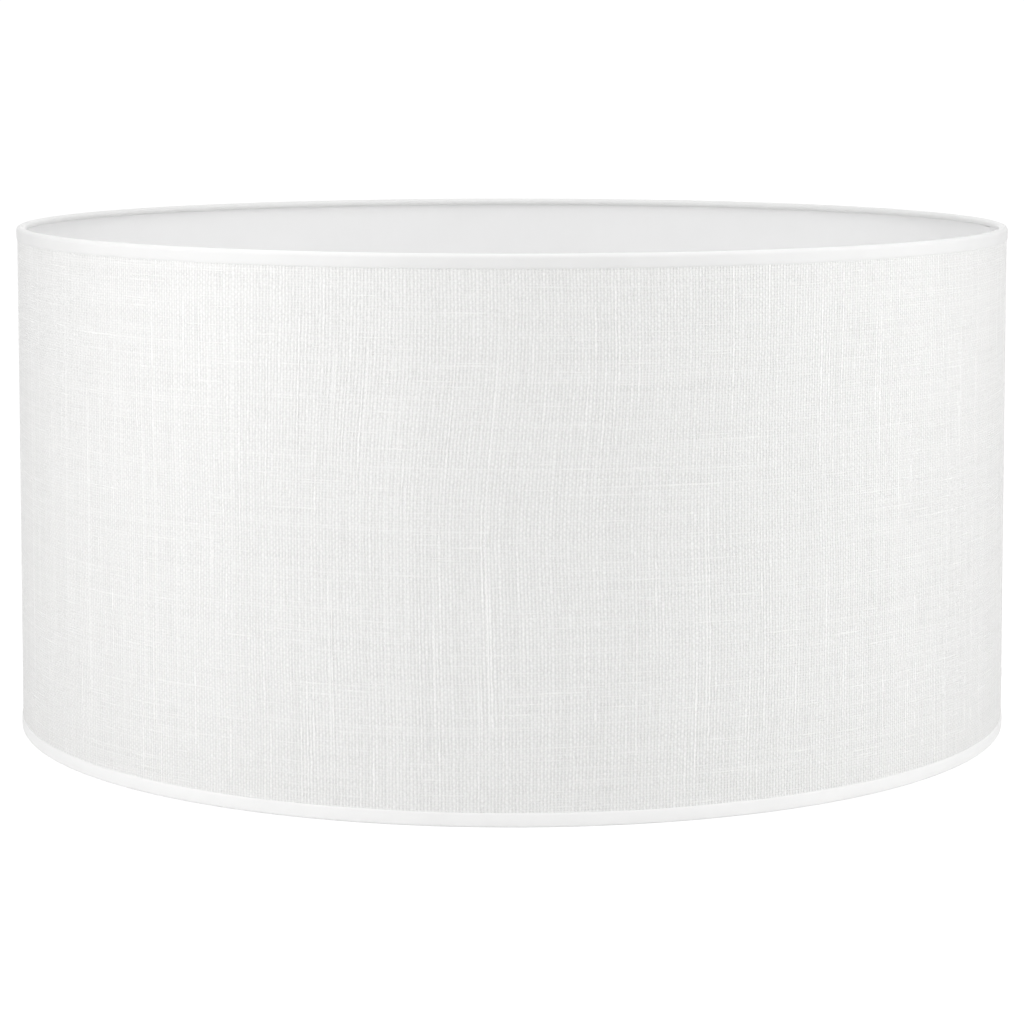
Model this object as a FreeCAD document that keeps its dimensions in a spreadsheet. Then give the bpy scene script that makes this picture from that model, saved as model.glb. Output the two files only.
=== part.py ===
"""Drum lamp shade: a woven cover glued to a plastic liner, rolled round two wire rings.

Frame: millimetres, +Z up, origin on the shade's axis at the level of its bottom edge.
The panel is one strip wrapped anticlockwise. Its outer end, with the cloth turned over
the liner, laps its inner end at the seam, near +X. A tape folded over each edge covers
the ring there. Three wire arms carry the pressed fitter ring near the bottom edge.
"""
import FreeCAD
import Part
import math
import os

import Sketcher

SHEET = "Dimensions"

# Driving dimensions, in millimetres and degrees.
DIMENSIONS = {
    "shade_diameter": 500.0,  # over the trim
    "shade_height": 252.0,  # over the trim
    "fabric_thickness": 0.5,
    "liner_thickness": 0.4,
    "trim_thickness": 0.5,
    "trim_band": 6.5,  # how far the trim comes down the outside
    "trim_corner": 1.0,  # outside radius where the trim turns over the panel's edge
    "ring_wire": 2.5,
    "arm_wire": 3.0,
    "arm_height": 23.5,  # the arms' axis above the bottom edge
    "arm_foot": 0.6,  # where an arm's lower end starts on the bottom ring
    "arm_bend": 8.0,
    "fitter_bore": 42.0,  # for an E27 lampholder
    "fitter_diameter": 56.0,
    "fitter_sheet": 1.5,
    "fitter_height": 5.5,
    "fitter_top": 26.5,
    "fitter_corner": 2.0,
    "notch_clearance": 0.3,
    "seam_angle": 4.0,  # the visible edge of the lap, from +X towards +Y
    "lap_width": 12.0,
    "lap_gap": 0.3,  # between the foot of the ramp and the lap's visible edge
    "lap_clip": 4.0,  # the lap's corners are cut off by this much, clear of the rings
    "ramp_width": 4.0,  # where the inner end steps in under the lap
    "glue_thickness": 0.2,
}

ARM_ANGLES = (90.0, 210.0, 330.0)
FULL_TURN = 360.0
DEGREES_PER_RADIAN = math.degrees(1.0)


class Size:
    """A spreadsheet expression with its present value, which a new sketch is drawn to."""

    def __init__(self, text, value):
        self.text = text
        self.value = value

    def joined(self, sign, other, value):
        return Size(f"({self.text} {sign} {other.text})", value)

    def __add__(self, other):
        other = as_size(other)
        return self.joined("+", other, self.value + other.value)

    def __sub__(self, other):
        other = as_size(other)
        return self.joined("-", other, self.value - other.value)

    def __mul__(self, other):
        other = as_size(other)
        return self.joined("*", other, self.value * other.value)

    def __truediv__(self, other):
        other = as_size(other)
        return self.joined("/", other, self.value / other.value)


def as_size(value):
    """value itself if it is a Size, or else the plain number as one."""
    return value if isinstance(value, Size) else Size(str(value), float(value))


def cell(alias):
    return Size(f"{SHEET}.{alias}", DIMENSIONS[alias])


def cosine(angle):
    return Size(f"cos({angle.text} * 1 deg)", math.cos(math.radians(angle.value)))


def sine(angle):
    return Size(f"sin({angle.text} * 1 deg)", math.sin(math.radians(angle.value)))


def arc_angle(length, radius):
    """The angle in degrees of an arc of this length."""
    return length / radius * DEGREES_PER_RADIAN


def fill_sheet(doc):
    sheet = doc.addObject("Spreadsheet::Sheet", SHEET)
    for row, (alias, value) in enumerate(DIMENSIONS.items(), start=1):
        sheet.set(f"A{row}", alias)
        sheet.set(f"B{row}", str(value))
        sheet.setAlias(f"B{row}", alias)
    return sheet


def origin_plane(body, role):
    """One of the body's own origin planes."""
    for feature in body.Origin.OriginFeatures:
        if feature.Role == role:
            return feature
    raise RuntimeError(f"{body.Label} has no {role}")


def new_body(doc, label):
    body = doc.addObject("PartDesign::Body", label)
    body.Label = label
    return body


def new_sketch(body, name, role, offset=None):
    """An empty sketch on an origin plane, raised along the plane's normal by offset."""
    sketch = body.newObject("Sketcher::SketchObject", name)
    sketch.AttachmentSupport = (origin_plane(body, role), [""])
    sketch.MapMode = "FlatFace"
    if offset is not None:
        sketch.setExpression("AttachmentOffset.Base.z", offset.text)
    return sketch


class Corner:
    """A sharp corner of an outline."""

    def __init__(self, across, up):
        self.across, self.up = as_size(across), as_size(up)
        self.entry = self.exit = (self.across, self.up)


class Arc:
    """A round stretch of an outline, about a centre, from one angle to another in degrees."""

    def __init__(self, across, up, radius, start, end):
        self.across, self.up, self.radius = as_size(across), as_size(up), radius
        self.start, self.end = as_size(start), as_size(end)
        self.entry, self.exit = self.point(self.start), self.point(self.end)

    def point(self, angle):
        across = self.across + self.radius * cosine(angle)
        up = self.up + self.radius * sine(angle)
        return across, up


def vector(point):
    return FreeCAD.Vector(point[0].value, point[1].value, 0.0)


def pin(sketch, direction, geometry, end, size):
    """Holds one coordinate of a sketch point at a size from the sheet."""
    constraint = Sketcher.Constraint(direction, -1, 1, geometry, end, size.value)
    index = sketch.addConstraint(constraint)
    sketch.setExpression(f"Constraints[{index}]", size.text)


def pin_on_arc(sketch, geometry, end, point, angle):
    """Holds an arc's end by the coordinate that changes fastest along the arc there."""
    steep = abs(sine(angle).value) >= abs(cosine(angle).value)
    direction, size = ("DistanceX", point[0]) if steep else ("DistanceY", point[1])
    pin(sketch, direction, geometry, end, size)


def add_arc(sketch, step):
    """Draws an arc, and returns its index with its entry and exit ends."""
    forwards = step.end.value > step.start.value
    low, high = (step.start, step.end) if forwards else (step.end, step.start)
    centre = FreeCAD.Vector(step.across.value, step.up.value, 0.0)
    circle = Part.Circle(centre, FreeCAD.Vector(0, 0, 1), step.radius.value)
    arc = Part.ArcOfCircle(circle, math.radians(low.value), math.radians(high.value))
    index = sketch.addGeometry(arc, False)
    pin(sketch, "DistanceX", index, 3, step.across)
    pin(sketch, "DistanceY", index, 3, step.up)
    radius = sketch.addConstraint(Sketcher.Constraint("Radius", index, step.radius.value))
    sketch.setExpression(f"Constraints[{radius}]", step.radius.text)
    entry, leave = (1, 2) if forwards else (2, 1)
    pin_on_arc(sketch, index, entry, step.entry, step.start)
    pin_on_arc(sketch, index, leave, step.exit, step.end)
    return index, entry, leave


def draw(sketch, steps, closed=True):
    """Draws an outline through corners and arcs, with a straight edge between each two."""
    arcs = {i: add_arc(sketch, step) for i, step in enumerate(steps) if isinstance(step, Arc)}
    count = len(steps)
    lines = {}
    for i in range(count if closed else count - 1):
        start, end = steps[i].exit, steps[(i + 1) % count].entry
        lines[i] = sketch.addGeometry(Part.LineSegment(vector(start), vector(end)), False)
    for i, step in enumerate(steps):
        before = lines.get((i - 1) % count)
        after = lines.get(i)
        if i in arcs:
            index, entry, leave = arcs[i]
            sketch.addConstraint(Sketcher.Constraint("Coincident", before, 2, index, entry))
            sketch.addConstraint(Sketcher.Constraint("Coincident", after, 1, index, leave))
            continue
        if before is not None and after is not None:
            sketch.addConstraint(Sketcher.Constraint("Coincident", before, 2, after, 1))
        held, end = (before, 2) if after is None else (after, 1)
        pin(sketch, "DistanceX", held, end, step.across)
        pin(sketch, "DistanceY", held, end, step.up)


def pad(body, name, steps, bottom, height):
    """A feature of constant section, from bottom upwards."""
    sketch = new_sketch(body, name + "_sketch", "XY_Plane", bottom)
    draw(sketch, steps)
    feature = body.newObject("PartDesign::Pad", name)
    feature.Profile = sketch
    feature.setExpression("Length", height.text)
    return feature


def revolve(body, name, steps):
    """A feature of revolution about the shade's axis."""
    sketch = new_sketch(body, name + "_sketch", "XZ_Plane")
    draw(sketch, steps)
    feature = body.newObject("PartDesign::Revolution", name)
    feature.Profile = sketch
    feature.ReferenceAxis = (sketch, ["V_Axis"])
    feature.Angle = FULL_TURN
    return feature


def polar(radius, angle):
    return Corner(radius * cosine(angle), radius * sine(angle))


def ring_arc(radius, start, end):
    """An arc about the shade's axis."""
    return Arc(0, 0, radius, start, end)


# Sizes that several pieces share.
OUTER = cell("shade_diameter") / 2
FABRIC_OUT = OUTER - cell("trim_thickness")
FABRIC_IN = FABRIC_OUT - cell("fabric_thickness")
LINER_IN = FABRIC_IN - cell("liner_thickness")
HEM_IN = LINER_IN - cell("fabric_thickness")
LAP_DROP = FABRIC_OUT - HEM_IN + cell("glue_thickness")
PANEL_BOTTOM = cell("trim_corner")
PANEL_HEIGHT = cell("shade_height") - cell("trim_corner") * 2
LEAF_BOTTOM = PANEL_BOTTOM + cell("lap_clip")
LEAF_HEIGHT = PANEL_HEIGHT - cell("lap_clip") * 2
RING_RADIUS = LINER_IN - cell("ring_wire") / 2
RING_DEPTH = cell("trim_thickness") + cell("ring_wire") / 2
ARM_RADIUS = LINER_IN - cell("ring_wire") - cell("arm_wire") / 2

LAP_EDGE = cell("seam_angle")
HEM_EDGE = LAP_EDGE + arc_angle(cell("fabric_thickness"), FABRIC_OUT)
LAP_END = LAP_EDGE + arc_angle(cell("lap_width"), FABRIC_OUT)
RAMP_LOW = LAP_EDGE - arc_angle(cell("lap_gap"), FABRIC_OUT)
RAMP_HIGH = RAMP_LOW - arc_angle(cell("ramp_width"), FABRIC_OUT)
WRAP_END = RAMP_HIGH + FULL_TURN


def inner_leaf(body, outside, inside):
    """The strip's inner end: a ramp that steps in by LAP_DROP, then the leaf under the lap."""
    steps = [
        ring_arc(outside - LAP_DROP, RAMP_LOW, LAP_END),
        ring_arc(inside - LAP_DROP, LAP_END, RAMP_LOW),
        polar(inside, RAMP_HIGH),
        polar(outside, RAMP_HIGH),
    ]
    return pad(body, body.Name + "_leaf", steps, LEAF_BOTTOM, LEAF_HEIGHT)


def make_fabric_cover(doc):
    """The cloth: once round, over the liner's end and back under it as a hem."""
    body = new_body(doc, "fabric_cover")
    wrap = [
        ring_arc(FABRIC_OUT, LAP_EDGE, WRAP_END),
        ring_arc(FABRIC_IN, WRAP_END, HEM_EDGE),
        ring_arc(LINER_IN, HEM_EDGE, LAP_EDGE),
    ]
    pad(body, "fabric_wrap", wrap, PANEL_BOTTOM, PANEL_HEIGHT)
    hem = [
        ring_arc(LINER_IN, LAP_EDGE, LAP_END),
        ring_arc(HEM_IN, LAP_END, LAP_EDGE),
    ]
    pad(body, "fabric_hem", hem, LEAF_BOTTOM, LEAF_HEIGHT)
    inner_leaf(body, FABRIC_OUT, FABRIC_IN)
    return body


def make_liner_panel(doc):
    """The plastic sheet that the cloth is glued to."""
    body = new_body(doc, "liner_panel")
    wrap = [
        ring_arc(FABRIC_IN, HEM_EDGE, WRAP_END),
        ring_arc(LINER_IN, WRAP_END, HEM_EDGE),
    ]
    pad(body, "liner_wrap", wrap, PANEL_BOTTOM, PANEL_HEIGHT)
    inner_leaf(body, FABRIC_IN, LINER_IN)
    return body


def make_seam_tape(doc):
    """The double-sided tape between the hem and the inner leaf."""
    body = new_body(doc, "seam_tape")
    strip = [
        ring_arc(HEM_IN, LAP_EDGE, LAP_END),
        ring_arc(HEM_IN - cell("glue_thickness"), LAP_END, LAP_EDGE),
    ]
    pad(body, "tape_strip", strip, LEAF_BOTTOM, LEAF_HEIGHT)
    return body


def trim_outline(edge, inwards):
    """The folded tape's section. edge is the shade's edge, and inwards is 1 or -1 along Z."""
    def level(depth):
        return edge + as_size(depth) * inwards

    corner = cell("trim_corner")
    thickness = cell("trim_thickness")
    corner_at = OUTER - corner, level(corner)
    wire_at = RING_RADIUS, level(RING_DEPTH)
    wire = cell("ring_wire") / 2
    outside, flat, under = 0.0, -90.0 * inwards, -270.0 * inwards
    tuck = RING_DEPTH + wire
    return [
        Corner(OUTER, level(cell("trim_band"))),
        Arc(*corner_at, corner, outside, flat),
        Arc(*wire_at, wire + thickness, flat, under),
        Corner(LINER_IN, level(tuck + thickness)),
        Corner(LINER_IN, level(tuck)),
        Arc(*wire_at, wire, under, flat),
        Arc(*corner_at, corner - thickness, flat, outside),
        Corner(FABRIC_OUT, level(cell("trim_band"))),
    ]


def make_top_trim(doc):
    body = new_body(doc, "top_trim")
    revolve(body, "top_fold", trim_outline(cell("shade_height"), -1))
    return body


def make_bottom_trim(doc):
    """The bottom tape, cut away on the inside round the foot of each arm."""
    body = new_body(doc, "bottom_trim")
    revolve(body, "bottom_fold", trim_outline(as_size(0), 1))
    half_width = cell("arm_wire") / 2 + cell("notch_clearance")
    near = ARM_RADIUS - cell("arm_wire")
    far = ARM_RADIUS + cell("arm_wire") / 2 + cell("trim_thickness")
    left = half_width * -1
    sketch = new_sketch(body, "notch_sketch", "XY_Plane")
    draw(sketch, [
        Corner(left, near),
        Corner(half_width, near),
        Corner(half_width, far),
        Corner(left, far),
    ])
    notch = body.newObject("PartDesign::Pocket", "notch")
    notch.Profile = sketch
    notch.Reversed = True
    notch.setExpression("Length", cell("trim_band").text)
    notches = body.newObject("PartDesign::PolarPattern", "notches")
    notches.Originals = [notch]
    notches.Axis = (sketch, ["N_Axis"])
    notches.Angle = FULL_TURN
    notches.Occurrences = len(ARM_ANGLES)
    body.Tip = notches
    return body


def make_ring(doc, label, height):
    """A wire ring inside one edge of the panel."""
    ring = doc.addObject("Part::Torus", label)
    ring.Label = label
    ring.setExpression("Radius1", RING_RADIUS.text)
    ring.setExpression("Radius2", (cell("ring_wire") / 2).text)
    ring.setExpression("Placement.Base.z", height.text)
    return ring


def make_arm(doc, number, angle):
    """A bent wire from the bottom ring's inner side up the wall and in to the fitter."""
    body = new_body(doc, f"spider_arm_{number}")
    section = new_sketch(body, f"arm_{number}_section", "XY_Plane", cell("arm_foot"))
    circle = Part.Circle(
        FreeCAD.Vector(ARM_RADIUS.value, 0, 0),
        FreeCAD.Vector(0, 0, 1),
        cell("arm_wire").value / 2,
    )
    wire = section.addGeometry(circle, False)
    section.addConstraint(Sketcher.Constraint("PointOnObject", wire, 3, -1))
    pin(section, "DistanceX", wire, 3, ARM_RADIUS)
    radius = section.addConstraint(Sketcher.Constraint("Radius", wire, circle.Radius))
    section.setExpression(f"Constraints[{radius}]", (cell("arm_wire") / 2).text)
    path = new_sketch(body, f"arm_{number}_path", "XZ_Plane")
    bend = cell("arm_bend")
    draw(path, [
        Corner(ARM_RADIUS, cell("arm_foot")),
        Arc(ARM_RADIUS - bend, cell("arm_height") - bend, bend, 0.0, 90.0),
        Corner(cell("fitter_diameter") / 2, cell("arm_height")),
    ], closed=False)
    pipe = body.newObject("PartDesign::AdditivePipe", f"arm_{number}_pipe")
    pipe.Profile = section
    pipe.Spine = path
    body.Placement = FreeCAD.Placement(
        FreeCAD.Vector(0, 0, 0),
        FreeCAD.Rotation(FreeCAD.Vector(0, 0, 1), angle),
    )
    return body


def make_fitter_ring(doc):
    """A pressed ring: a flat collar for the lampholder, with a skirt that the arms meet."""
    body = new_body(doc, "fitter_ring")
    bore = cell("fitter_bore") / 2
    rim = cell("fitter_diameter") / 2
    top = cell("fitter_top")
    sheet = cell("fitter_sheet")
    corner = cell("fitter_corner")
    corner_at = rim - corner, top - corner
    base = top - cell("fitter_height")
    revolve(body, "fitter_press", [
        Corner(bore, top),
        Arc(*corner_at, corner, 90.0, 0.0),
        Corner(rim, base),
        Corner(rim - sheet, base),
        Arc(*corner_at, corner - sheet, 0.0, 90.0),
        Corner(bore, top - sheet),
    ])
    return body


def make_parts(doc):
    parts = [
        make_fabric_cover(doc),
        make_liner_panel(doc),
        make_seam_tape(doc),
        make_top_trim(doc),
        make_bottom_trim(doc),
        make_ring(doc, "top_ring", cell("shade_height") - RING_DEPTH),
        make_ring(doc, "bottom_ring", RING_DEPTH),
    ]
    for number, angle in enumerate(ARM_ANGLES, start=1):
        parts.append(make_arm(doc, number, angle))
    parts.append(make_fitter_ring(doc))
    return parts


def check(doc, parts):
    """Stops if an object failed or a part isn't one sound solid."""
    for item in doc.Objects:
        if "Invalid" in item.State or "Error" in item.State:
            raise RuntimeError(f"{item.Label} failed: {item.State}")
    for part in parts:
        shape = part.Shape
        if shape.isNull() or not shape.isValid() or len(shape.Solids) != 1:
            raise RuntimeError(f"{part.Label} isn't one sound solid")


def export(parts):
    os.makedirs("parts", exist_ok=True)
    for part in parts:
        part.Shape.exportStep(os.path.join("parts", part.Label + ".step"))
        print(f"{part.Label}: {part.Shape.Volume:.1f} mm3")


def main():
    doc = FreeCAD.newDocument("DrumShade")
    fill_sheet(doc)
    doc.recompute()
    parts = make_parts(doc)
    doc.recompute()
    check(doc, parts)
    export(parts)


main()
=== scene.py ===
"""White drum lamp shade: the looks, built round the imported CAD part, in metres and in its frame."""

import math
import random

import bmesh
import bpy
from mathutils import Matrix, Vector, noise


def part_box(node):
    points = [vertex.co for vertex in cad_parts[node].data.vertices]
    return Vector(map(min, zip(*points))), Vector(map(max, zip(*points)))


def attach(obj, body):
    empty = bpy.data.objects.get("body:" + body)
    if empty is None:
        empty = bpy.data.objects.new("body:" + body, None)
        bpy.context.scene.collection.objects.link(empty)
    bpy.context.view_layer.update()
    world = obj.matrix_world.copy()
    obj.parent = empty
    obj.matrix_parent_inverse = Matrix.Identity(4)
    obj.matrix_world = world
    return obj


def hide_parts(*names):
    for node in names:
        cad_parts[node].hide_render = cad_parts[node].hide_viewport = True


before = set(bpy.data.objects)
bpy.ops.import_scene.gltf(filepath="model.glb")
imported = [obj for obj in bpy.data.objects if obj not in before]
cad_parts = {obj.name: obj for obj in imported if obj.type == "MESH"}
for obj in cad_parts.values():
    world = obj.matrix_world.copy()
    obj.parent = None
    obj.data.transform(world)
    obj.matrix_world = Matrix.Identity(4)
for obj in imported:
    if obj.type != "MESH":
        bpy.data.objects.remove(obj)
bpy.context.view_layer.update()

MM = 0.001
TURN = 2 * math.pi
UP = Vector((0, 0, 1))
# The cloth and the film end this far inside the CAD's, so that the rolls hide their edges.
EDGE_INSET = 0.7 * MM


def outer_radius(node):
    """How far a CAD node that goes round the axis reaches from it."""
    return max(max(abs(c.x), abs(c.y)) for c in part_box(node))


# ---------------------------------------------------------------- sizes from the CAD part

COVER_OUT = outer_radius("fabric_cover")
COVER_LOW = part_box("fabric_cover")[0].z + EDGE_INSET
COVER_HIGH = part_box("fabric_cover")[1].z - EDGE_INSET
LINER_OUT = outer_radius("liner_panel")
LINER_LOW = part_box("liner_panel")[0].z + EDGE_INSET
LINER_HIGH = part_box("liner_panel")[1].z - EDGE_INSET
TRIM_OUT = outer_radius("top_trim")
TOP_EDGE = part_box("top_trim")[1].z
BOTTOM_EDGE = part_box("bottom_trim")[0].z
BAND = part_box("bottom_trim")[1].z - BOTTOM_EDGE
RING_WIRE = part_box("top_ring")[1].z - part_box("top_ring")[0].z
RING_RADIUS = outer_radius("top_ring") - RING_WIRE / 2
RING_DEPTH = TOP_EDGE - (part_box("top_ring")[1].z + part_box("top_ring")[0].z) / 2
ARM_Z = (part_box("fitter_ring")[0].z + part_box("fitter_ring")[1].z) / 2
COLLAR_RADIUS = outer_radius("fitter_ring")

# ---------------------------------------------------------------- sizes that repeat part.py's

CLOTH = 0.5 * MM
FILM = 0.4 * MM
TAPE = 0.5 * MM
GLUE = 0.2 * MM
# The lap's visible edge, then where the wrap starts to step in, and where its inner leaf lies flat.
LAP_ANGLE = math.radians(4.0)
WRAP_END = math.radians(363.01)
LEAF_START = math.radians(363.93)
LAP_WIDTH = 12 * MM
LAP_END = LAP_ANGLE + LAP_WIDTH / COVER_OUT
LEAF_STEP = 2 * CLOTH + FILM + GLUE
TUCK_RADIUS = 248.6 * MM
ARM_ANGLES = [math.radians(a) for a in (90, 210, 330)]
ARM_WIRE = 3.0 * MM
ARM_FOOT_RADIUS = 244.6 * MM
NOTCH_WIDTH = 3.6 * MM
NOTCH_RADIUS = 246.6 * MM

# ---------------------------------------------------------------- sizes of the looks alone

ROWS = 50
COLUMN_STEP = 4 * MM
FINE_STEP = 2 * MM
BEND_STEPS = 8
# The layers under the lap end this far below the others.
LAP_MARGIN = 2.0 * MM
WALL_UNEVEN = 0.22 * MM
TOP_CORNER = 2.0 * MM
BOTTOM_CORNER = 1.2 * MM
TRIM_COLUMNS = 480
TRIM_LAP = 9 * MM
TRIM_JOINT = math.radians(66)
JOINT_OFFSET = math.radians(1.7)
TAPE_WAVE = 0.1 * MM
TAPE_PUCKER = 0.02 * MM

# ---------------------------------------------------------------- the weave

WARP_PITCH = 1.54 * MM
WEFT_PITCH = 1.15 * MM
FRONT = math.radians(270)
WARP_STRAY = 2.6 * MM
WARP_FINE_STRAY = 0.5 * MM
WEFT_STRAY = 1.2 * MM
# The warp threads lean over at the front, in the upper half.
FRONT_LEAN = 4.0 * MM
FRONT_LEAN_WIDTH = 0.09


def smooth(value, low, high):
    """0 below low, 1 above high, and a smooth step between them."""
    t = min(1.0, max(0.0, (value - low) / (high - low)))
    return t * t * (3 - 2 * t)


def wander(s, z, along, up, seed):
    """Smooth noise on the cloth. along and up are the distances over which it changes."""
    return noise.noise(Vector((s / along, z / up, seed)))


def drift(s, z):
    """How far the warp threads stray sideways at a place on the cloth."""
    stray = WARP_STRAY * wander(s, z, 0.17, 0.12, 3.1)
    fine = WARP_FINE_STRAY * wander(s, z, 0.03, 0.05, 8.7)
    middle = COVER_OUT * (FRONT - LAP_ANGLE)
    near = math.exp(-((s - middle) / FRONT_LEAN_WIDTH) ** 2)
    lean = FRONT_LEAN * near * smooth(z, 0.12, 0.21)
    return stray + fine + lean


def sag(s, z):
    """How far the weft threads stray up or down at a place on the cloth."""
    return WEFT_STRAY * wander(s, z, 0.12, 0.2, 21.5)


def weave_uv(s, z):
    """The count of warp threads and of weft threads up to a place on the cloth."""
    return ((s - drift(s, z)) / WARP_PITCH, (z - sag(s, z)) / WEFT_PITCH)


def unevenness(angle, z):
    """How far the laminated wall stands out of true, none at the edges, where the rings hold it."""
    held = smooth(z, 4 * MM, 30 * MM) * smooth(TOP_EDGE - z, 4 * MM, 30 * MM)
    where = Vector((math.cos(angle) * 2.6, math.sin(angle) * 2.6, z / 0.11))
    return WALL_UNEVEN * held * noise.noise(where)


# ---------------------------------------------------------------- meshes


def add_object(name, vertices, faces, material, uvs=None, crease=40):
    """A smooth-shaded mesh that rides on the only body."""
    mesh = bpy.data.meshes.new(name)
    mesh.from_pydata(vertices, [], faces)
    if uvs is not None:
        layer = mesh.uv_layers.new(name="weave")
        flat = [c for loop in mesh.loops for c in uvs[loop.vertex_index]]
        layer.data.foreach_set("uv", flat)
    mesh.polygons.foreach_set("use_smooth", [True] * len(mesh.polygons))
    mesh.set_sharp_from_angle(angle=math.radians(crease))
    mesh.materials.append(material)
    mesh.update()
    piece = bpy.data.objects.new(name, mesh)
    bpy.context.scene.collection.objects.link(piece)
    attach(piece, "root")
    return piece


def sheet_faces(columns, rows):
    """The faces of a closed thin sheet: its two sides and its rim."""

    def front(c, k):
        return 2 * (c * (rows + 1) + k)

    def back(c, k):
        return front(c, k) + 1

    faces = []
    for c in range(columns):
        for k in range(rows):
            faces.append((front(c, k), front(c + 1, k), front(c + 1, k + 1), front(c, k + 1)))
            faces.append((back(c, k), back(c, k + 1), back(c + 1, k + 1), back(c + 1, k)))
        faces.append((front(c, rows), front(c + 1, rows), back(c + 1, rows), back(c, rows)))
        faces.append((front(c + 1, 0), front(c, 0), back(c, 0), back(c + 1, 0)))
    for k in range(rows):
        faces.append((front(0, k), front(0, k + 1), back(0, k + 1), back(0, k)))
        faces.append((front(columns, k + 1), front(columns, k), back(columns, k), back(columns, k + 1)))
    return faces


def thick_sheet(name, grid, thickness, material, uvs=None):
    """A sheet from a grid of (point on its middle, direction of its front).

    thickness is a list, with one value for each row of the grid.
    """
    vertices = []
    doubled = []
    for c, column in enumerate(grid):
        for k, (point, facing) in enumerate(column):
            vertices.append(point + facing * (thickness[k] / 2))
            vertices.append(point - facing * (thickness[k] / 2))
            if uvs is not None:
                doubled += [uvs[c][k], uvs[c][k]]
    faces = sheet_faces(len(grid) - 1, len(grid[0]) - 1)
    return add_object(name, vertices, faces, material, doubled if uvs is not None else None)


# ---------------------------------------------------------------- cloth and liner


def radial(angle):
    return Vector((math.cos(angle), math.sin(angle), 0))


def arc_columns(radius, start, end, step, low, high):
    """Upright lines along an arc of the drum, each as (place, facing, low end, high end)."""
    count = max(1, round(abs(end - start) * radius / step))
    side = 1 if end > start else -1
    columns = []
    for i in range(count + 1):
        out = radial(start + (end - start) * i / count)
        columns.append((out * radius, out * side, low, high))
    return columns


def ramp_columns(radius, low, high, inner_low, inner_high):
    """Upright lines where the wrap's end steps in behind its start."""
    columns = []
    for i in range(1, BEND_STEPS):
        t = i / BEND_STEPS
        in_by = LEAF_STEP * smooth(t, 0, 1)
        angle = WRAP_END + (LEAF_START - WRAP_END) * t
        slope = LEAF_STEP * 6 * t * (1 - t) / ((LEAF_START - WRAP_END) * radius)
        out = radial(angle)
        along = UP.cross(out)
        facing = (out + along * slope).normalized()
        ends = (low + (inner_low - low) * t, high + (inner_high - high) * t)
        columns.append((out * (radius - in_by), facing, *ends))
    return columns


def fold_columns(radius, depth, low, high, inner_low, inner_high):
    """Upright lines round the liner's end, from the turned hem to the wrap."""
    columns = []
    bend = depth / 2
    angle = LAP_ANGLE + (bend + CLOTH / 2) / radius
    out = radial(angle)
    back = -UP.cross(out)
    for i in range(1, BEND_STEPS):
        t = i / BEND_STEPS
        turn = math.pi * t
        facing = back * math.sin(turn) - out * math.cos(turn)
        ends = (inner_low + (low - inner_low) * t, inner_high + (high - inner_high) * t)
        columns.append((out * (radius - bend) + facing * bend, facing, *ends))
    return columns, angle


def path_lengths(columns):
    """How far along the cloth each upright line is."""
    lengths = [0.0]
    for before, after in zip(columns, columns[1:]):
        lengths.append(lengths[-1] + (after[0] - before[0]).length)
    return lengths


def grid_of(columns, rows):
    """Points and directions of a sheet that stands on its upright lines."""
    grid = []
    for place, facing, low, high in columns:
        angle = math.atan2(place.y, place.x)
        line = []
        for k in range(rows + 1):
            z = low + (high - low) * k / rows
            out = radial(angle) * unevenness(angle, z)
            line.append((place + out + UP * z, facing))
        grid.append(line)
    return grid


def make_cloth(material):
    """The woven cover: turned hem, fold, wrap, ramp and inner leaf, in one strip."""
    wrap = COVER_OUT - CLOTH / 2
    depth = CLOTH + FILM
    inner = (COVER_LOW + LAP_MARGIN, COVER_HIGH - LAP_MARGIN)
    fold, start = fold_columns(wrap, depth, COVER_LOW, COVER_HIGH, *inner)
    hem = arc_columns(wrap - depth, LAP_END, start, FINE_STEP, *inner)
    body = arc_columns(wrap, start, WRAP_END, COLUMN_STEP, COVER_LOW, COVER_HIGH)
    ramp = ramp_columns(wrap, COVER_LOW, COVER_HIGH, *inner)
    leaf = arc_columns(wrap - LEAF_STEP, LEAF_START, TURN + LAP_END, FINE_STEP, *inner)
    columns = hem + fold + body + ramp + leaf
    lengths = path_lengths(columns)
    origin = lengths[len(hem) + len(fold)] - (start - LAP_ANGLE) * wrap
    grid = grid_of(columns, ROWS)
    uvs = [[weave_uv(s - origin, point.z) for point, _ in line] for s, line in zip(lengths, grid)]
    cloth = thick_sheet("cloth_cover", grid, [CLOTH] * (ROWS + 1), material, uvs)
    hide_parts("fabric_cover")
    return cloth, lengths[-1]


def make_liner(material):
    """The stiff film behind the cloth, from inside the fold to the end of the inner leaf."""
    wrap = LINER_OUT - FILM / 2
    start = LAP_ANGLE + (CLOTH + GLUE) / wrap
    inner = (LINER_LOW + LAP_MARGIN, LINER_HIGH - LAP_MARGIN)
    columns = arc_columns(wrap, start, WRAP_END, COLUMN_STEP, LINER_LOW, LINER_HIGH)
    columns += ramp_columns(wrap, LINER_LOW, LINER_HIGH, *inner)
    columns += arc_columns(wrap - LEAF_STEP, LEAF_START, TURN + LAP_END, FINE_STEP, *inner)
    thickness = [FILM] * (ROWS + 1)
    liner = thick_sheet("liner_film", grid_of(columns, ROWS), thickness, material)
    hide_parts("liner_panel")


# ---------------------------------------------------------------- thicker threads

THREAD_SIDES = 6
UPRIGHT_SLUBS = 100
UPRIGHT_LENGTH = (0.08, 0.4)
LEVEL_SLUBS = 120
LEVEL_LENGTH = (0.02, 0.12)
# Half widths and half heights, in millimetres.
UPRIGHT_WIDTH = (0.18, 0.3)
UPRIGHT_HEIGHT = (0.05, 0.11)
LEVEL_WIDTH = (0.12, 0.18)
LEVEL_HEIGHT = (0.02, 0.045)
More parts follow.
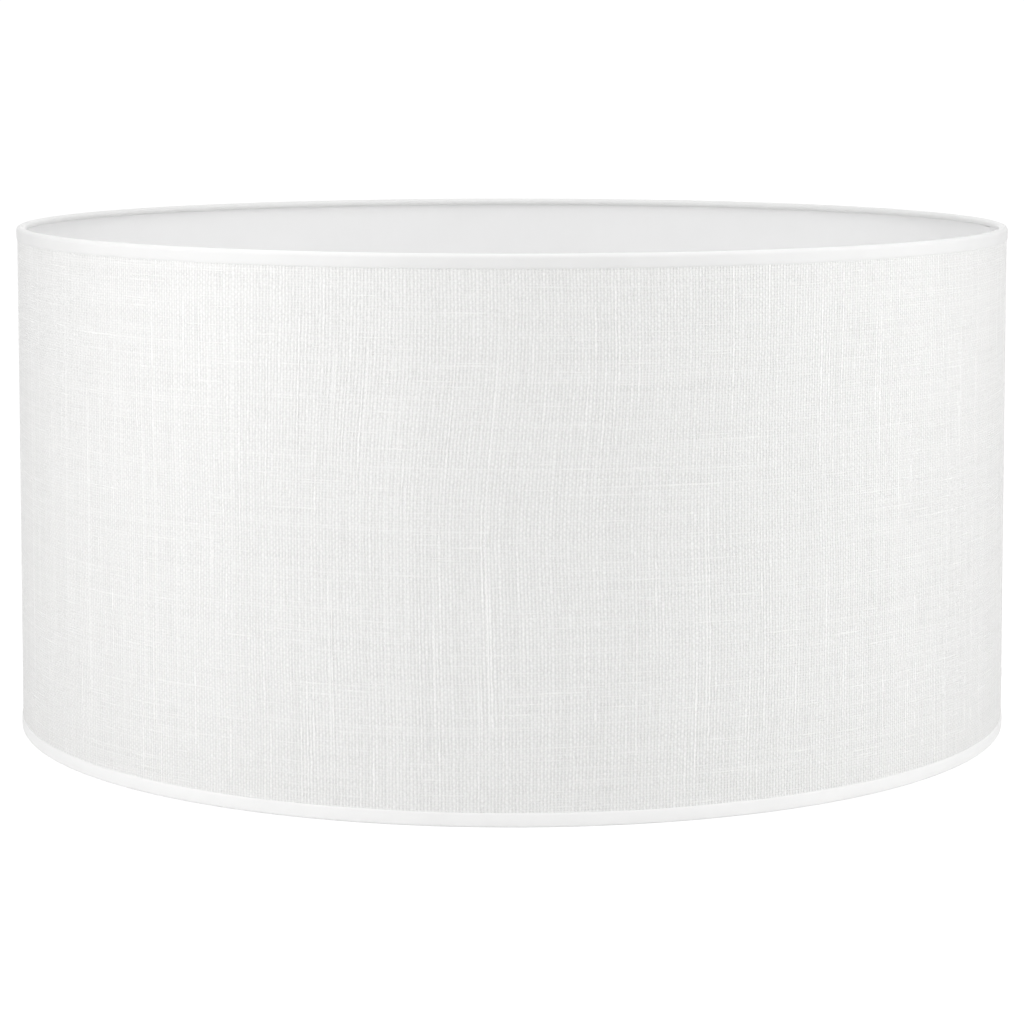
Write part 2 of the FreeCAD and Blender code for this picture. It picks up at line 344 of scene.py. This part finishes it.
# One loose end of yarn, low down and a little before the seam: (along, up), and its half widths.
LOOSE_END = [(1.508, 0.030), (1.5092, 0.0283), (1.5101, 0.0262), (1.5108, 0.0240)]
LOOSE_WIDTHS = [0.25 * MM, 0.4 * MM, 0.4 * MM, 0.2 * MM]


def thread_mesh(points, widths, heights, vertices, faces, uvs):
    """Adds one flattened thread that lies half in the cloth's face. Points are (s, z) on the cloth."""
    sides = THREAD_SIDES
    first = len(vertices)
    for i, (s, z) in enumerate(points):
        ahead = points[min(i + 1, len(points) - 1)]
        behind = points[max(i - 1, 0)]
        run = Vector((ahead[0] - behind[0], ahead[1] - behind[1])).normalized()
        for k in range(sides):
            turn = TURN * k / sides
            across = widths[i] * math.cos(turn)
            at_s = s - run.y * across
            at_z = z + run.x * across
            angle = LAP_ANGLE + at_s / COVER_OUT
            lift = COVER_OUT + unevenness(angle, at_z) + heights[i] * math.sin(turn)
            vertices.append(radial(angle) * lift + UP * at_z)
            uvs.append(weave_uv(at_s, at_z))
    for i in range(len(points) - 1):
        for k in range(sides):
            a = first + i * sides + k
            b = first + i * sides + (k + 1) % sides
            faces.append((a, b, b + sides, a + sides))
    faces.append(tuple(first + k for k in reversed(range(sides))))
    last = first + (len(points) - 1) * sides
    faces.append(tuple(last + k for k in range(sides)))


def swell(t, phase):
    """Thickness along a slub from end to end: thin at its tips, uneven between."""
    tips = min(1.0, 6 * t, 6 * (1 - t))
    return (0.15 + 0.85 * tips) * (0.8 + 0.45 * noise.noise(Vector((t * 7, phase, 0))))


def upright_slub(rng, threads, length_of_wrap):
    """One thick warp thread, which follows the stray of its neighbours."""
    kept_off = 6
    thread = math.floor(rng.uniform(kept_off, length_of_wrap / WARP_PITCH - kept_off))
    s = (thread + 0.5) * WARP_PITCH
    length = min(COVER_HIGH - COVER_LOW - 2 * MM, rng.uniform(*UPRIGHT_LENGTH))
    low = rng.uniform(COVER_LOW + MM, COVER_HIGH - MM - length)
    width = rng.uniform(*UPRIGHT_WIDTH) * MM
    height = rng.uniform(*UPRIGHT_HEIGHT) * MM
    phase = rng.uniform(0, 90)
    count = max(6, round(length / (5 * MM)))
    points = []
    sizes = []
    for i in range(count + 1):
        z = low + length * i / count
        points.append((s + drift(s, z), z))
        sizes.append(swell(i / count, phase))
    thread_mesh(points, [width * w for w in sizes], [height * w for w in sizes], *threads)


def level_slub(rng, threads, length_of_wrap):
    """One short thick weft thread. They are commoner in the lower half."""
    end_gap = 10 * MM
    edge_gap = 6 * MM
    s = rng.uniform(end_gap, length_of_wrap - LEVEL_LENGTH[1] - end_gap)
    z = COVER_LOW + edge_gap + (COVER_HIGH - COVER_LOW - 2 * edge_gap) * rng.random() ** 1.25
    z = (math.floor(z / WEFT_PITCH) + 0.5) * WEFT_PITCH
    length = rng.uniform(*LEVEL_LENGTH)
    width = rng.uniform(*LEVEL_WIDTH) * MM
    height = rng.uniform(*LEVEL_HEIGHT) * MM
    phase = rng.uniform(0, 90)
    count = max(4, round(length / (4 * MM)))
    points = []
    sizes = []
    for i in range(count + 1):
        along = s + length * i / count
        points.append((along, z + sag(along, z)))
        sizes.append(swell(i / count, phase))
    thread_mesh(points, [width * w for w in sizes], [height * w for w in sizes], *threads)


def make_slubs(material):
    """All the raised threads of the cover, in one mesh."""
    rng = random.Random(11)
    threads = ([], [], [])
    length_of_wrap = COVER_OUT * (WRAP_END - LAP_ANGLE)
    for _ in range(UPRIGHT_SLUBS):
        upright_slub(rng, threads, length_of_wrap)
    for _ in range(LEVEL_SLUBS):
        level_slub(rng, threads, length_of_wrap)
    thread_mesh(LOOSE_END, LOOSE_WIDTHS, [0.5 * width for width in LOOSE_WIDTHS], *threads)
    vertices, faces, uvs = threads
    return add_object("slub_threads", vertices, faces, material, uvs, 80)


# ---------------------------------------------------------------- folded tape on the edges

# Points up the band from its free edge, and the tape's thickness from each cut edge inwards.
BAND_STEPS = [0, 0.25 * MM, 0.6 * MM, 1.2 * MM, 2.4 * MM, 3.6 * MM]
THIN_START = [0.16 * MM, 0.3 * MM, 0.4 * MM, 0.46 * MM]
THIN_END = [0.42 * MM, 0.2 * MM]
CORNER_STEPS = 6
ROLL_STEPS = 16


def trim_profile(round_by):
    """The tape's section: (radius, depth from the edge, facing out, facing towards the edge)."""
    outside = TRIM_OUT - TAPE / 2
    corner = round_by - TAPE / 2
    corner_radius = TRIM_OUT - round_by
    roll = RING_DEPTH - TAPE / 2
    section = []
    for step in BAND_STEPS:
        section.append((outside, BAND - step, 1, 0))
    for i in range(CORNER_STEPS + 1):
        turn = math.pi / 2 * i / CORNER_STEPS
        out, edge = math.cos(turn), math.sin(turn)
        section.append((corner_radius + corner * out, round_by - corner * edge, out, edge))
    for i in range(ROLL_STEPS):
        turn = math.pi / 2 + math.pi * i / ROLL_STEPS
        out, edge = math.cos(turn), math.sin(turn)
        section.append((RING_RADIUS + roll * out, RING_DEPTH - roll * edge, out, edge))
    last = RING_DEPTH + roll
    section.append((RING_RADIUS, last, 0, -1))
    section.append(((RING_RADIUS + TUCK_RADIUS) / 2, last, 0, -1))
    section.append((TUCK_RADIUS, last, 0, -1))
    return section


def tape_thickness(points):
    """The tape's thickness at each point of its section: its cut edges are pressed thin."""
    return THIN_START + [TAPE] * (points - len(THIN_START) - len(THIN_END)) + THIN_END


def tape_offset(angle, k, last, seed):
    """Small waves of the tape: one for its free edge outside, and puckers along the roll inside."""
    where = Vector((math.cos(angle) * 9, math.sin(angle) * 9, seed))
    wave = noise.noise(where)
    fine = Vector((math.cos(angle) * 60, math.sin(angle) * 60, seed + k * 0.05))
    pucker = noise.noise(fine)
    share = smooth(k / last, 0.5, 0.75) * smooth((last - k) / last, 0.0, 0.12)
    return TAPE_WAVE * wave, TAPE_PUCKER * pucker * share


def trim_line(section, angle, lifted, edge, inward, seed):
    """The tape's points and directions across its width, at one angle round the shade."""
    last = len(section) - 1
    thickness = tape_thickness(len(section))
    line = []
    for k, (radius, depth, out, to_edge) in enumerate(section):
        wave, pucker = tape_offset(angle, k, last, seed)
        pressed = (1 - 0.9 * max(0.0, to_edge)) * (1 - 0.7 * smooth(k / last, 0.4, 0.6))
        off = lifted * pressed * smooth((last - k) / last, 0.0, 0.2) + pucker
        if k < len(THIN_START):
            radius -= (TAPE - thickness[k]) / 2
        if k < len(BAND_STEPS):
            depth += wave * smooth(depth, 2 * MM, BAND)
        place = radial(angle) * (radius + out * off) + UP * (edge + inward * (depth - to_edge * off))
        facing = radial(angle) * out + UP * (-inward * to_edge)
        line.append((place, facing))
    return line


def make_trim(name, node, edge, inward, round_by, material, seed):
    """Tape folded over one edge, its end lapped over its start.

    inward is the way from the edge into the shade: +1 for up and -1 for down.
    """
    section = trim_profile(round_by)
    lap = TRIM_LAP / TRIM_OUT
    start = TRIM_JOINT if inward < 0 else TRIM_JOINT + JOINT_OFFSET
    grid = []
    for i in range(TRIM_COLUMNS + 1):
        swept = (TURN + lap) * i / TRIM_COLUMNS
        lifted = TAPE * 0.9 * smooth(swept, TURN - 0.6 * lap, TURN + 0.1 * lap)
        grid.append(trim_line(section, start + swept, lifted, edge, inward, seed))
    if inward > 0:
        grid.reverse()
    trim = thick_sheet(name, grid, tape_thickness(len(section)), material)
    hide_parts(node)
    return trim


def cut_notches(trim):
    """Cuts the inside of the bottom tape where each arm is welded to the ring."""
    cutter_mesh = bpy.data.meshes.new("notch_cutter")
    shape = bmesh.new()
    depth = 6 * MM
    height = 6 * MM
    for angle in ARM_ANGLES:
        centre = radial(angle) * (NOTCH_RADIUS - depth / 2) + UP * (BOTTOM_EDGE + RING_DEPTH)
        size = Matrix.Diagonal((depth, NOTCH_WIDTH, height, 1))
        place = Matrix.Translation(centre) @ Matrix.Rotation(angle, 4, "Z") @ size
        bmesh.ops.create_cube(shape, size=1, matrix=place)
    shape.to_mesh(cutter_mesh)
    shape.free()
    cutter = bpy.data.objects.new("notch_cutter", cutter_mesh)
    bpy.context.scene.collection.objects.link(cutter)
    modifier = trim.modifiers.new("notches", "BOOLEAN")
    modifier.object = cutter
    modifier.operation = "DIFFERENCE"
    modifier.solver = "EXACT"
    bpy.context.view_layer.update()
    graph = bpy.context.evaluated_depsgraph_get()
    cut = bpy.data.meshes.new_from_object(trim.evaluated_get(graph), depsgraph=graph)
    trim.modifiers.clear()
    trim.data = cut
    bpy.data.objects.remove(cutter)


# ---------------------------------------------------------------- welds

# Half length along the joint, half depth across it, and half height.
RING_BEAD = (1.7 * MM, 0.9 * MM, 1.2 * MM)
COLLAR_BEAD = (2.4 * MM, 1.1 * MM, 2.0 * MM)


def bead_points(centre, along, up, size, rings, sides, seed):
    """Rings of points round a lumpy, rippled bead, from one tip to the other."""
    across = up.cross(along).normalized()
    points = []
    for i in range(rings + 1):
        slope = math.pi * i / rings
        wide = math.sin(slope)
        for k in range(sides):
            turn = TURN * k / sides
            unit = Vector((math.cos(slope), wide * math.cos(turn), wide * math.sin(turn)))
            lump = 1 + 0.16 * noise.noise(unit * 1.7 + Vector((seed, 0, 0)))
            ripple = 1 + 0.05 * math.sin(unit.x * 13)
            section = across * unit.y * size[1] + up * unit.z * size[2]
            points.append(centre + (along * unit.x * size[0] + section * ripple) * lump)
    return points


def make_bead(name, centre, along, up, size, material, seed):
    """A weld. size is its half length along the joint, half depth across it, and half height."""
    rings, sides = 14, 18
    shape = bmesh.new()
    for point in bead_points(centre, along, up, size, rings, sides, seed):
        shape.verts.new(point)
    shape.verts.ensure_lookup_table()
    for i in range(rings):
        for k in range(sides):
            a = i * sides + k
            b = i * sides + (k + 1) % sides
            shape.faces.new([shape.verts[v] for v in (a, b, b + sides, a + sides)])
    bmesh.ops.remove_doubles(shape, verts=shape.verts, dist=1e-6)
    bmesh.ops.recalc_face_normals(shape, faces=shape.faces)
    shape.verts.index_update()
    points = [v.co.copy() for v in shape.verts]
    polygons = [[v.index for v in f.verts] for f in shape.faces]
    shape.free()
    return add_object(name, points, polygons, material, crease=80)


def make_welds(material):
    """Beads where each arm meets the bottom ring and the collar."""
    for i, angle in enumerate(ARM_ANGLES, 1):
        out = radial(angle)
        along = UP.cross(out)
        foot = out * (ARM_FOOT_RADIUS + ARM_WIRE / 2 - 0.3 * MM) + UP * (BOTTOM_EDGE + RING_DEPTH)
        make_bead(f"ring_weld_{i}", foot, along, UP, RING_BEAD, material, i)
        joint = out * (COLLAR_RADIUS + 0.1 * MM) + UP * ARM_Z
        make_bead(f"collar_weld_{i}", joint, along, UP, COLLAR_BEAD, material, i + 7)


# ---------------------------------------------------------------- materials

# Greys of the cloth, from the lowest place of the weave to the highest: the cloth's own white, painted
# darker where the weave lies low as painted shade between the threads. Then a grey for each tape.
CLOTH_TONE_AND_PAINTED_SHADE = (0.748, 0.958)
# The two tapes are one tape: the top one is painted darker as painted shade, and the bottom one lighter
# as painted light.
TOP_TAPE_GREY_PAINTED_SHADE = 0.78
BOTTOM_TAPE_GREY_PAINTED_LIGHT = 0.872
TAPE_RIB = 0.45 * MM


class Nodes:
    """Builds a material with short calls. Most calls give back an output socket.

    roughness is the plain value, which stands where finish gets no socket for it.
    """

    def __init__(self, name, roughness, **settings):
        self.material = bpy.data.materials.new(name)
        self.material.use_nodes = True
        self.tree = self.material.node_tree
        self.tree.nodes.clear()
        self.shader = self.add("ShaderNodeBsdfPrincipled")
        output = self.add("ShaderNodeOutputMaterial")
        self.tree.links.new(self.shader.outputs["BSDF"], output.inputs["Surface"])
        self.shader.inputs["Roughness"].default_value = roughness
        for label, value in settings.items():
            self.shader.inputs[label.replace("_", " ")].default_value = value

    def add(self, kind, **settings):
        node = self.tree.nodes.new(kind)
        for label, value in settings.items():
            setattr(node, label, value)
        return node

    def put(self, value, socket):
        if isinstance(value, bpy.types.NodeSocket):
            self.tree.links.new(value, socket)
        else:
            socket.default_value = value

    def math(self, operation, *values):
        node = self.add("ShaderNodeMath", operation=operation)
        for value, socket in zip(values, node.inputs):
            self.put(value, socket)
        return node.outputs[0]

    def vector(self, *values):
        node = self.add("ShaderNodeCombineXYZ")
        for value, socket in zip(values, node.inputs):
            self.put(value, socket)
        return node.outputs[0]

    def split(self, vector):
        node = self.add("ShaderNodeSeparateXYZ")
        self.put(vector, node.inputs[0])
        return node.outputs

    def place(self):
        """The object's own coordinates, in metres, which are the row's."""
        return self.add("ShaderNodeTexCoord").outputs["Object"]

    def noise(self, vector, scale, detail=2.0, roughness=0.5):
        node = self.add("ShaderNodeTexNoise")
        self.put(vector, node.inputs["Vector"])
        node.inputs["Scale"].default_value = scale
        node.inputs["Detail"].default_value = detail
        node.inputs["Roughness"].default_value = roughness
        return node.outputs[0]

    def chance(self, value):
        """A random number from 0 to 1 for each whole number."""
        node = self.add("ShaderNodeTexWhiteNoise", noise_dimensions="1D")
        self.put(value, node.inputs["W"])
        return node.outputs["Value"]

    def remap(self, value, low, high, new_low, new_high, kind="LINEAR"):
        node = self.add("ShaderNodeMapRange", interpolation_type=kind)
        for number, socket in zip((value, low, high, new_low, new_high), node.inputs):
            self.put(number, socket)
        return node.outputs[0]

    def grey_to_colour(self, brightness, tint):
        """A brightness as a colour with a slight tint."""
        node = self.add("ShaderNodeCombineColor")
        for share, socket in zip(tint, node.inputs):
            self.put(self.math("MULTIPLY", brightness, share), socket)
        return node.outputs[0]

    def finish(self, colour, height=None, distance=0.0, roughness=None):
        self.put(colour, self.shader.inputs["Base Color"])
        if height is not None:
            bump = self.add("ShaderNodeBump")
            bump.inputs["Distance"].default_value = distance
            self.put(height, bump.inputs["Height"])
            self.put(bump.outputs[0], self.shader.inputs["Normal"])
        if roughness is not None:
            self.put(roughness, self.shader.inputs["Roughness"])
        return self.material


def thread_round(g, position, half_width):
    """The rounded height of a thread, 1 along its middle and 0 outside it."""
    centred = g.math("SUBTRACT", g.math("FRACT", position), 0.5)
    share = g.math("DIVIDE", centred, half_width)
    left = g.math("SUBTRACT", 1.0, g.math("MULTIPLY", share, share))
    return g.math("SQRT", g.math("MAXIMUM", left, 0.0))


def crossing(g, along, number):
    """+1 where a warp thread goes over a weft thread, and -1 where it goes under it."""
    return g.math("SINE", g.math("MULTIPLY", g.math("ADD", along, number), math.pi))


def thread_noise(g, number, along, seed):
    """Noise along a thread. Threads lie so far apart in it that neighbours differ."""
    return g.noise(g.vector(g.math("MULTIPLY", number, 7.31), along, seed), 1.0)


def thread_run(g, number, along, seed, low, high):
    """0 to 1 along each thread, 1 where it differs from its usual self. Each thread has its own runs."""
    run = thread_noise(g, number, along, seed)
    return g.remap(run, low, high, 0.0, 1.0, "SMOOTHSTEP")


def thread_tone(g, number, along, seed, dark, light):
    """How much lighter or darker each thread is, which changes slowly along it."""
    return g.remap(thread_noise(g, number, along, seed), 0.25, 0.75, dark, light)


def wavering_counts(g):
    """The counts of warp and weft threads from the weave UV map, each with a small wander of its own."""
    u, v, _ = g.split(g.add("ShaderNodeUVMap", uv_map="weave").outputs[0])
    sideways = g.noise(g.vector(g.math("MULTIPLY", u, 0.8), g.math("MULTIPLY", v, 0.16), 2.0), 1.0)
    upwards = g.noise(g.vector(g.math("MULTIPLY", u, 0.14), g.math("MULTIPLY", v, 0.8), 5.0), 1.0)
    u = g.math("ADD", u, g.remap(sideways, 0.2, 0.8, -0.2, 0.2))
    v = g.math("ADD", v, g.remap(upwards, 0.2, 0.8, -0.25, 0.25))
    return u, v


def warp_height(g, u, v, warp):
    """The height of the upright threads, which stand out more than the level ones."""
    slub = thread_run(g, warp, g.math("MULTIPLY", v, 0.009), 0.0, 0.6, 0.66)
    thin = thread_run(g, warp, g.math("MULTIPLY", v, 0.05), 3.0, 0.58, 0.7)
    usual = g.remap(g.chance(warp), 0, 1, 0.36, 0.42)
    section = thread_round(g, u, g.math("ADD", usual, g.math("MULTIPLY", thin, -0.1)))
    over = g.remap(crossing(g, v, warp), -1, 1, 0.5, 1.0)
    return g.math("MULTIPLY", section, g.math("ADD", over, g.math("MULTIPLY", slub, 0.5)))


def weft_height(g, u, v, weft):
    """The height of the level threads, which dip under where the upright ones rise."""
    slub = thread_run(g, weft, g.math("MULTIPLY", u, 0.04), 6.0, 0.6, 0.68)
    thin = thread_run(g, weft, g.math("MULTIPLY", u, 0.05), 9.0, 0.58, 0.68)
    usual = g.remap(g.chance(g.math("ADD", weft, 5000.0)), 0, 1, 0.36, 0.44)
    section = thread_round(g, v, g.math("ADD", usual, g.math("MULTIPLY", thin, -0.14)))
    over = g.remap(crossing(g, u, weft), -1, 1, 0.7, 0.1)
    return g.math("MULTIPLY", section, g.math("ADD", over, g.math("MULTIPLY", slub, 0.4)))


def woven_fabric():
    """Plain weave with uneven threads, counted by the weave UV map."""
    g = Nodes("woven_fabric", 0.9, Sheen_Weight=0.12, Sheen_Roughness=0.5)
    u, v = wavering_counts(g)
    warp = g.math("FLOOR", u)
    weft = g.math("FLOOR", v)
    upright = warp_height(g, u, v, warp)
    level = weft_height(g, u, v, weft)
    fluff = g.noise(g.vector(g.math("MULTIPLY", u, 1.3), v, 0.0), 1.1, 2.0)
    height = g.math("ADD", g.math("MAXIMUM", upright, level), g.remap(fluff, 0.3, 0.7, -0.22, 0.22))
    on_top = g.math("GREATER_THAN", upright, level)
    warp_tone = thread_tone(g, warp, g.math("MULTIPLY", v, 0.006), 12.0, -0.03, 0.03)
    weft_tone = thread_tone(g, weft, g.math("MULTIPLY", u, 0.012), 15.0, -0.045, 0.035)
    over = g.math("MULTIPLY", on_top, warp_tone)
    under = g.math("MULTIPLY", g.math("SUBTRACT", 1.0, on_top), weft_tone)
    # The cloth's grey follows the weave's height: painted shade in the low places between and under the
    # threads, over the cloth's own white.
    shade = g.remap(height, -0.05, 1.35, *CLOTH_TONE_AND_PAINTED_SHADE)
    shade = g.math("ADD", shade, g.math("ADD", over, under))
    return g.finish(g.grey_to_colour(shade, (1.0, 0.998, 0.99)), height, 0.32 * MM)


def trim_tape(name, lightness):
    """Smooth close-woven tape with a fine rib."""
    g = Nodes(name, 0.6, Sheen_Weight=0.03, Sheen_Roughness=0.4)
    place = g.place()
    cloud = g.noise(place, 60.0, 3.0)
    fine = g.noise(place, 2600.0, 2.0)
    up = g.split(place)[2]
    rib = g.math("SINE", g.math("MULTIPLY", up, TURN / TAPE_RIB))
    height = g.math("ADD", g.math("MULTIPLY", rib, 0.3), g.math("MULTIPLY", fine, 0.9))
    height = g.math("ADD", height, g.math("MULTIPLY", cloud, 3.0))
    # lightness is the tape's grey, with the painted shade or painted light of its edge in it.
    shade = g.remap(cloud, 0.3, 0.7, lightness - 0.008, lightness + 0.008)
    shade = g.math("ADD", shade, g.math("MULTIPLY", fine, 0.02))
    rough = g.remap(fine, 0.3, 0.7, 0.5, 0.66)
    return g.finish(g.grey_to_colour(shade, (1.0, 0.999, 0.995)), height, 0.02 * MM, rough)


def liner_film():
    """Smooth white film with a faint mottle."""
    g = Nodes("liner_film", 0.4, Coat_Weight=0.05, Coat_Roughness=0.3)
    place = g.place()
    cloud = g.noise(place, 38.0, 4.0)
    grain = g.noise(place, 1800.0, 2.0)
    shade = g.remap(cloud, 0.25, 0.75, 0.868, 0.884)
    height = g.math("ADD", g.math("MULTIPLY", cloud, 2.0), g.math("MULTIPLY", grain, 0.15))
    rough = g.remap(cloud, 0.3, 0.7, 0.36, 0.46)
    return g.finish(g.grey_to_colour(shade, (1.0, 1.0, 1.0)), height, 0.05 * MM, rough)


def adhesive_tape():
    """Clear yellowish glue with tiny bubbles."""
    g = Nodes("adhesive_tape", 0.35)
    bubbles = g.noise(g.place(), 900.0, 2.0)
    shade = g.remap(bubbles, 0.3, 0.7, 0.72, 0.8)
    return g.finish(g.grey_to_colour(shade, (1.0, 0.99, 0.95)), bubbles, 0.03 * MM)


def ring_steel():
    """Drawn steel wire, with faint marks along it."""
    g = Nodes("ring_steel", 0.35, Metallic=1.0)
    x, y, z = g.split(g.place())
    along_x = g.math("MULTIPLY", x, 40.0)
    along_y = g.math("MULTIPLY", y, 40.0)
    across = g.math("MULTIPLY", z, 4000.0)
    drawn = g.noise(g.vector(along_x, along_y, across), 1.0)
    shade = g.remap(drawn, 0.3, 0.7, 0.5, 0.62)
    rough = g.remap(drawn, 0.3, 0.7, 0.26, 0.42)
    return g.finish(g.grey_to_colour(shade, (0.98, 0.99, 1.0)), drawn, 0.01 * MM, rough)


def coated_steel():
    """White powder coat with its fine orange peel."""
    g = Nodes("coated_steel", 0.35, Coat_Weight=0.2, Coat_Roughness=0.25)
    place = g.place()
    peel = g.noise(place, 1400.0, 2.0)
    cloud = g.noise(place, 120.0, 2.0)
    shade = g.remap(cloud, 0.3, 0.7, 0.78, 0.82)
    rough = g.remap(peel, 0.3, 0.7, 0.3, 0.42)
    return g.finish(g.grey_to_colour(shade, (1.0, 1.0, 0.992)), peel, 0.03 * MM, rough)


def dress(node, material):
    """Gives a CAD node's object its material."""
    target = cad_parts[node]
    if not target.material_slots:
        target.data.materials.append(material)
    for place in target.material_slots:
        place.material = material


# ---------------------------------------------------------------- studio

WORLD_LIGHT = 0.50
WORLD_SEEN = 1.06
FLOOR_GREY = 0.94
FLOOR_GLOW = 1.08
# How much of the floor that the camera sees is glow. The rest shows the shadow.
FLOOR_GLOW_SHARE = 0.94
FLOOR_HALF = 6.0
LENS = 111.37
LENS_SHIFT = -0.20
CAMERA_PLACE = (0.0, -1.6144, 0.3416)
CAMERA_TILT = math.radians(85.281)
# name, azimuth in degrees, height above the floor, distance from the axis, width, length, power
LIGHTS = [
    ("near_left", -33, 0.36, 0.56, 0.12, 0.5, 0.50),
    ("near_right", 41, 0.36, 0.56, 0.12, 0.5, 0.36),
    ("above_front", 0, 1.20, 0.90, 1.2, 0.6, 2.6),
    ("far_left", -80, 0.60, 1.60, 1.4, 1.4, 6.4),
    ("far_right", 80, 0.60, 1.60, 1.4, 1.4, 7.4),
    ("rear", 180, 0.60, 1.60, 1.4, 1.4, 5.0),
    ("top", 0, 1.30, 0.05, 1.0, 1.0, 4.2),
    ("inside", 0, 0.03, 0.001, 0.3, 0.3, 0.07),
]


def make_world():
    """White to the camera, a little softer as light."""
    world = bpy.data.worlds.new("studio")
    bpy.context.scene.world = world
    world.use_nodes = True
    tree = world.node_tree
    tree.nodes.clear()
    light = tree.nodes.new("ShaderNodeBackground")
    light.inputs["Color"].default_value = (1, 1, 1, 1)
    light.inputs["Strength"].default_value = WORLD_LIGHT
    seen = tree.nodes.new("ShaderNodeBackground")
    seen.inputs["Color"].default_value = (1, 1, 1, 1)
    seen.inputs["Strength"].default_value = WORLD_SEEN
    path = tree.nodes.new("ShaderNodeLightPath")
    mix = tree.nodes.new("ShaderNodeMixShader")
    output = tree.nodes.new("ShaderNodeOutputWorld")
    tree.links.new(path.outputs["Is Camera Ray"], mix.inputs[0])
    tree.links.new(light.outputs[0], mix.inputs[1])
    tree.links.new(seen.outputs[0], mix.inputs[2])
    tree.links.new(mix.outputs[0], output.inputs["Surface"])


def floor_material():
    """White, and mostly glow to the camera, so that only a faint shadow shows."""
    material = bpy.data.materials.new("floor")
    material.use_nodes = True
    tree = material.node_tree
    tree.nodes.clear()
    matt = tree.nodes.new("ShaderNodeBsdfDiffuse")
    matt.inputs["Color"].default_value = (FLOOR_GREY, FLOOR_GREY, FLOOR_GREY, 1)
    glow = tree.nodes.new("ShaderNodeEmission")
    glow.inputs["Strength"].default_value = FLOOR_GLOW
    path = tree.nodes.new("ShaderNodeLightPath")
    share = tree.nodes.new("ShaderNodeMath")
    share.operation = "MULTIPLY"
    share.inputs[1].default_value = FLOOR_GLOW_SHARE
    mix = tree.nodes.new("ShaderNodeMixShader")
    output = tree.nodes.new("ShaderNodeOutputMaterial")
    tree.links.new(path.outputs["Is Camera Ray"], share.inputs[0])
    tree.links.new(share.outputs[0], mix.inputs[0])
    tree.links.new(matt.outputs[0], mix.inputs[1])
    tree.links.new(glow.outputs[0], mix.inputs[2])
    tree.links.new(mix.outputs[0], output.inputs["Surface"])
    return material


def make_floor():
    """A plain white floor just under the shade."""
    mesh = bpy.data.meshes.new("floor")
    half = FLOOR_HALF
    z = BOTTOM_EDGE - 0.1 * MM
    corners = [(-half, -half, z), (half, -half, z), (half, half, z), (-half, half, z)]
    mesh.from_pydata(corners, [], [(0, 1, 2, 3)])
    mesh.materials.append(floor_material())
    floor = bpy.data.objects.new("floor", mesh)
    bpy.context.scene.collection.objects.link(floor)


def soft_light(name, azimuth, height, distance, width, length, power):
    """A flat soft light that looks at the middle of the shade. Azimuth 0 is in front, 90 to the right."""
    data = bpy.data.lights.new(name, "AREA")
    data.shape = "RECTANGLE"
    data.size = width
    data.size_y = length
    data.energy = power
    light = bpy.data.objects.new(name, data)
    turn = math.radians(azimuth)
    middle = UP * (TOP_EDGE / 2)
    light.location = Vector((math.sin(turn) * distance, -math.cos(turn) * distance, height))
    light.rotation_mode = "QUATERNION"
    light.rotation_quaternion = (light.location - middle).to_track_quat("Z", "Y")
    light.visible_camera = False
    bpy.context.scene.collection.objects.link(light)


def make_camera():
    """A long lens, a little above the shade and level from side to side, raised as on a shift lens."""
    data = bpy.data.cameras.new("camera")
    data.sensor_width = 36.0
    data.lens = LENS
    data.shift_y = LENS_SHIFT
    data.clip_start = 0.01
    data.clip_end = 50.0
    camera = bpy.data.objects.new("camera", data)
    camera.location = CAMERA_PLACE
    camera.rotation_euler = (CAMERA_TILT, 0.0, 0.0)
    bpy.context.scene.collection.objects.link(camera)
    bpy.context.scene.camera = camera


# ---------------------------------------------------------------- the scene

cloth_material = woven_fabric()
# Two copies of one tape: a darker one at the top as painted shade, and a lighter one at the bottom as
# painted light.
top_tape_painted_shade = trim_tape("top_tape_painted_shade", TOP_TAPE_GREY_PAINTED_SHADE)
bottom_tape_painted_light = trim_tape("bottom_tape_painted_light", BOTTOM_TAPE_GREY_PAINTED_LIGHT)
film_material = liner_film()
coat_material = coated_steel()

cloth, cloth_length = make_cloth(cloth_material)
slubs = make_slubs(cloth_material)
make_liner(film_material)
top = make_trim("top_binding", "top_trim", TOP_EDGE, -1, TOP_CORNER, top_tape_painted_shade, 2.0)
bottom = make_trim("bottom_binding", "bottom_trim", BOTTOM_EDGE, 1, BOTTOM_CORNER, bottom_tape_painted_light, 6.0)
cut_notches(bottom)
make_welds(coat_material)

dress("seam_tape", adhesive_tape())
for ring in ("top_ring", "bottom_ring"):
    dress(ring, ring_steel())
for number in (1, 2, 3):
    dress(f"spider_arm_{number}", coat_material)
dress("fitter_ring", coat_material)

make_world()
make_floor()
for light in LIGHTS:
    soft_light(*light)
make_camera()
bpy.context.scene.view_settings.view_transform = "Standard"
